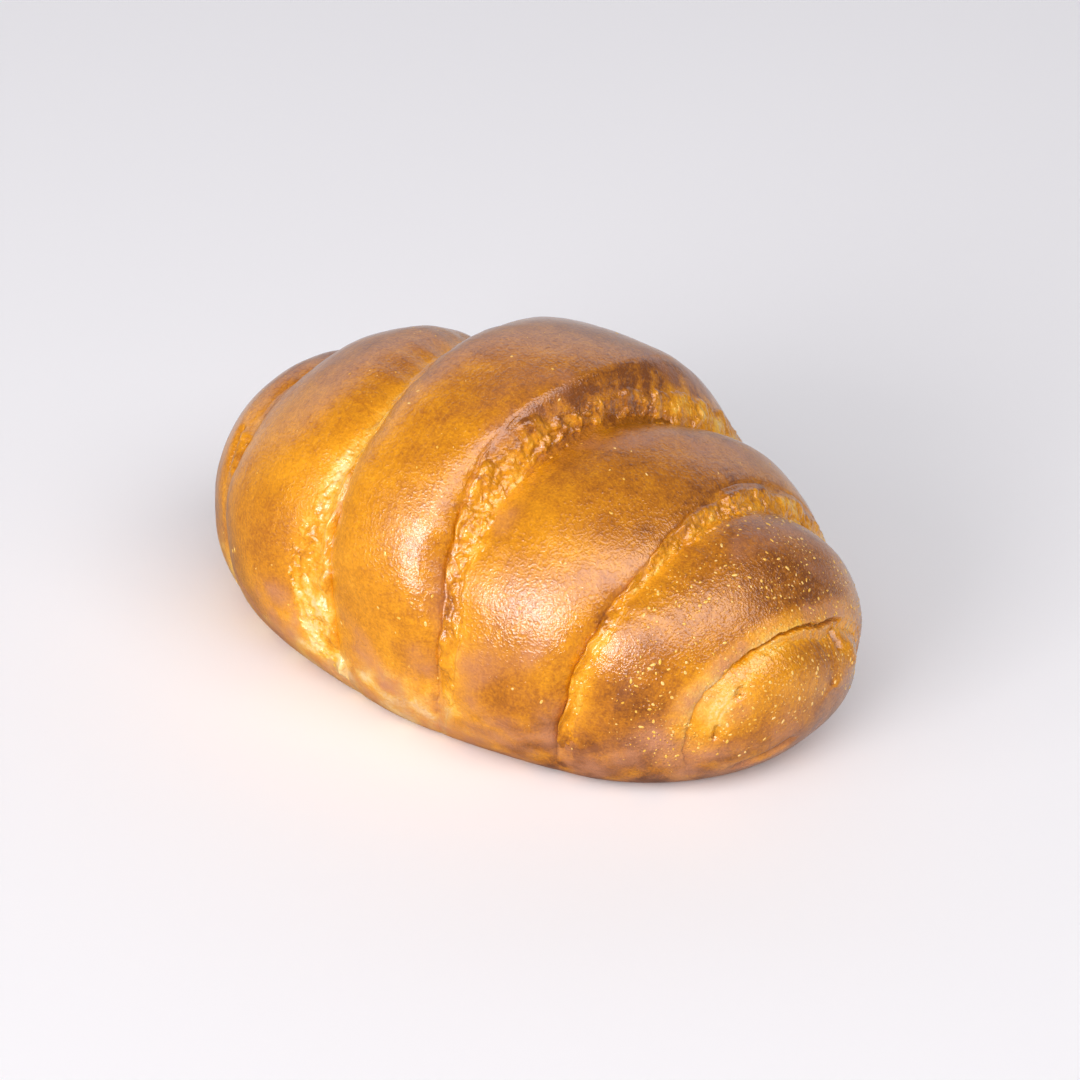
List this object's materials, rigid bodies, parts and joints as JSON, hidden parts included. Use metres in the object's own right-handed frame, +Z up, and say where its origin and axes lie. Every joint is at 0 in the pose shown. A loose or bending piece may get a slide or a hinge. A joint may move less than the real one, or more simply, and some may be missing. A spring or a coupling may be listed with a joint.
{
  "type": "salt bread roll",
  "caption": "Plump baked bread roll shaped from one rolled-up strip of dough, with broad glossy coils, torn seams between them and a flat underside.",
  "frame": {"origin": "under the middle of the roll, on the surface that its flat underside rests on", "axes": "+X along the roll to the tip that shows in the picture, +Y to its back, +Z up"},
  "size_m": [0.126, 0.0832, 0.0602],
  "materials": {
    "crust": "egg-washed crust, amber brown and glossy, paler and rough where the seams have torn"
  },
  "bodies": {
    "root": {"bread_roll": "crust"}
  },
  "joints": []
}
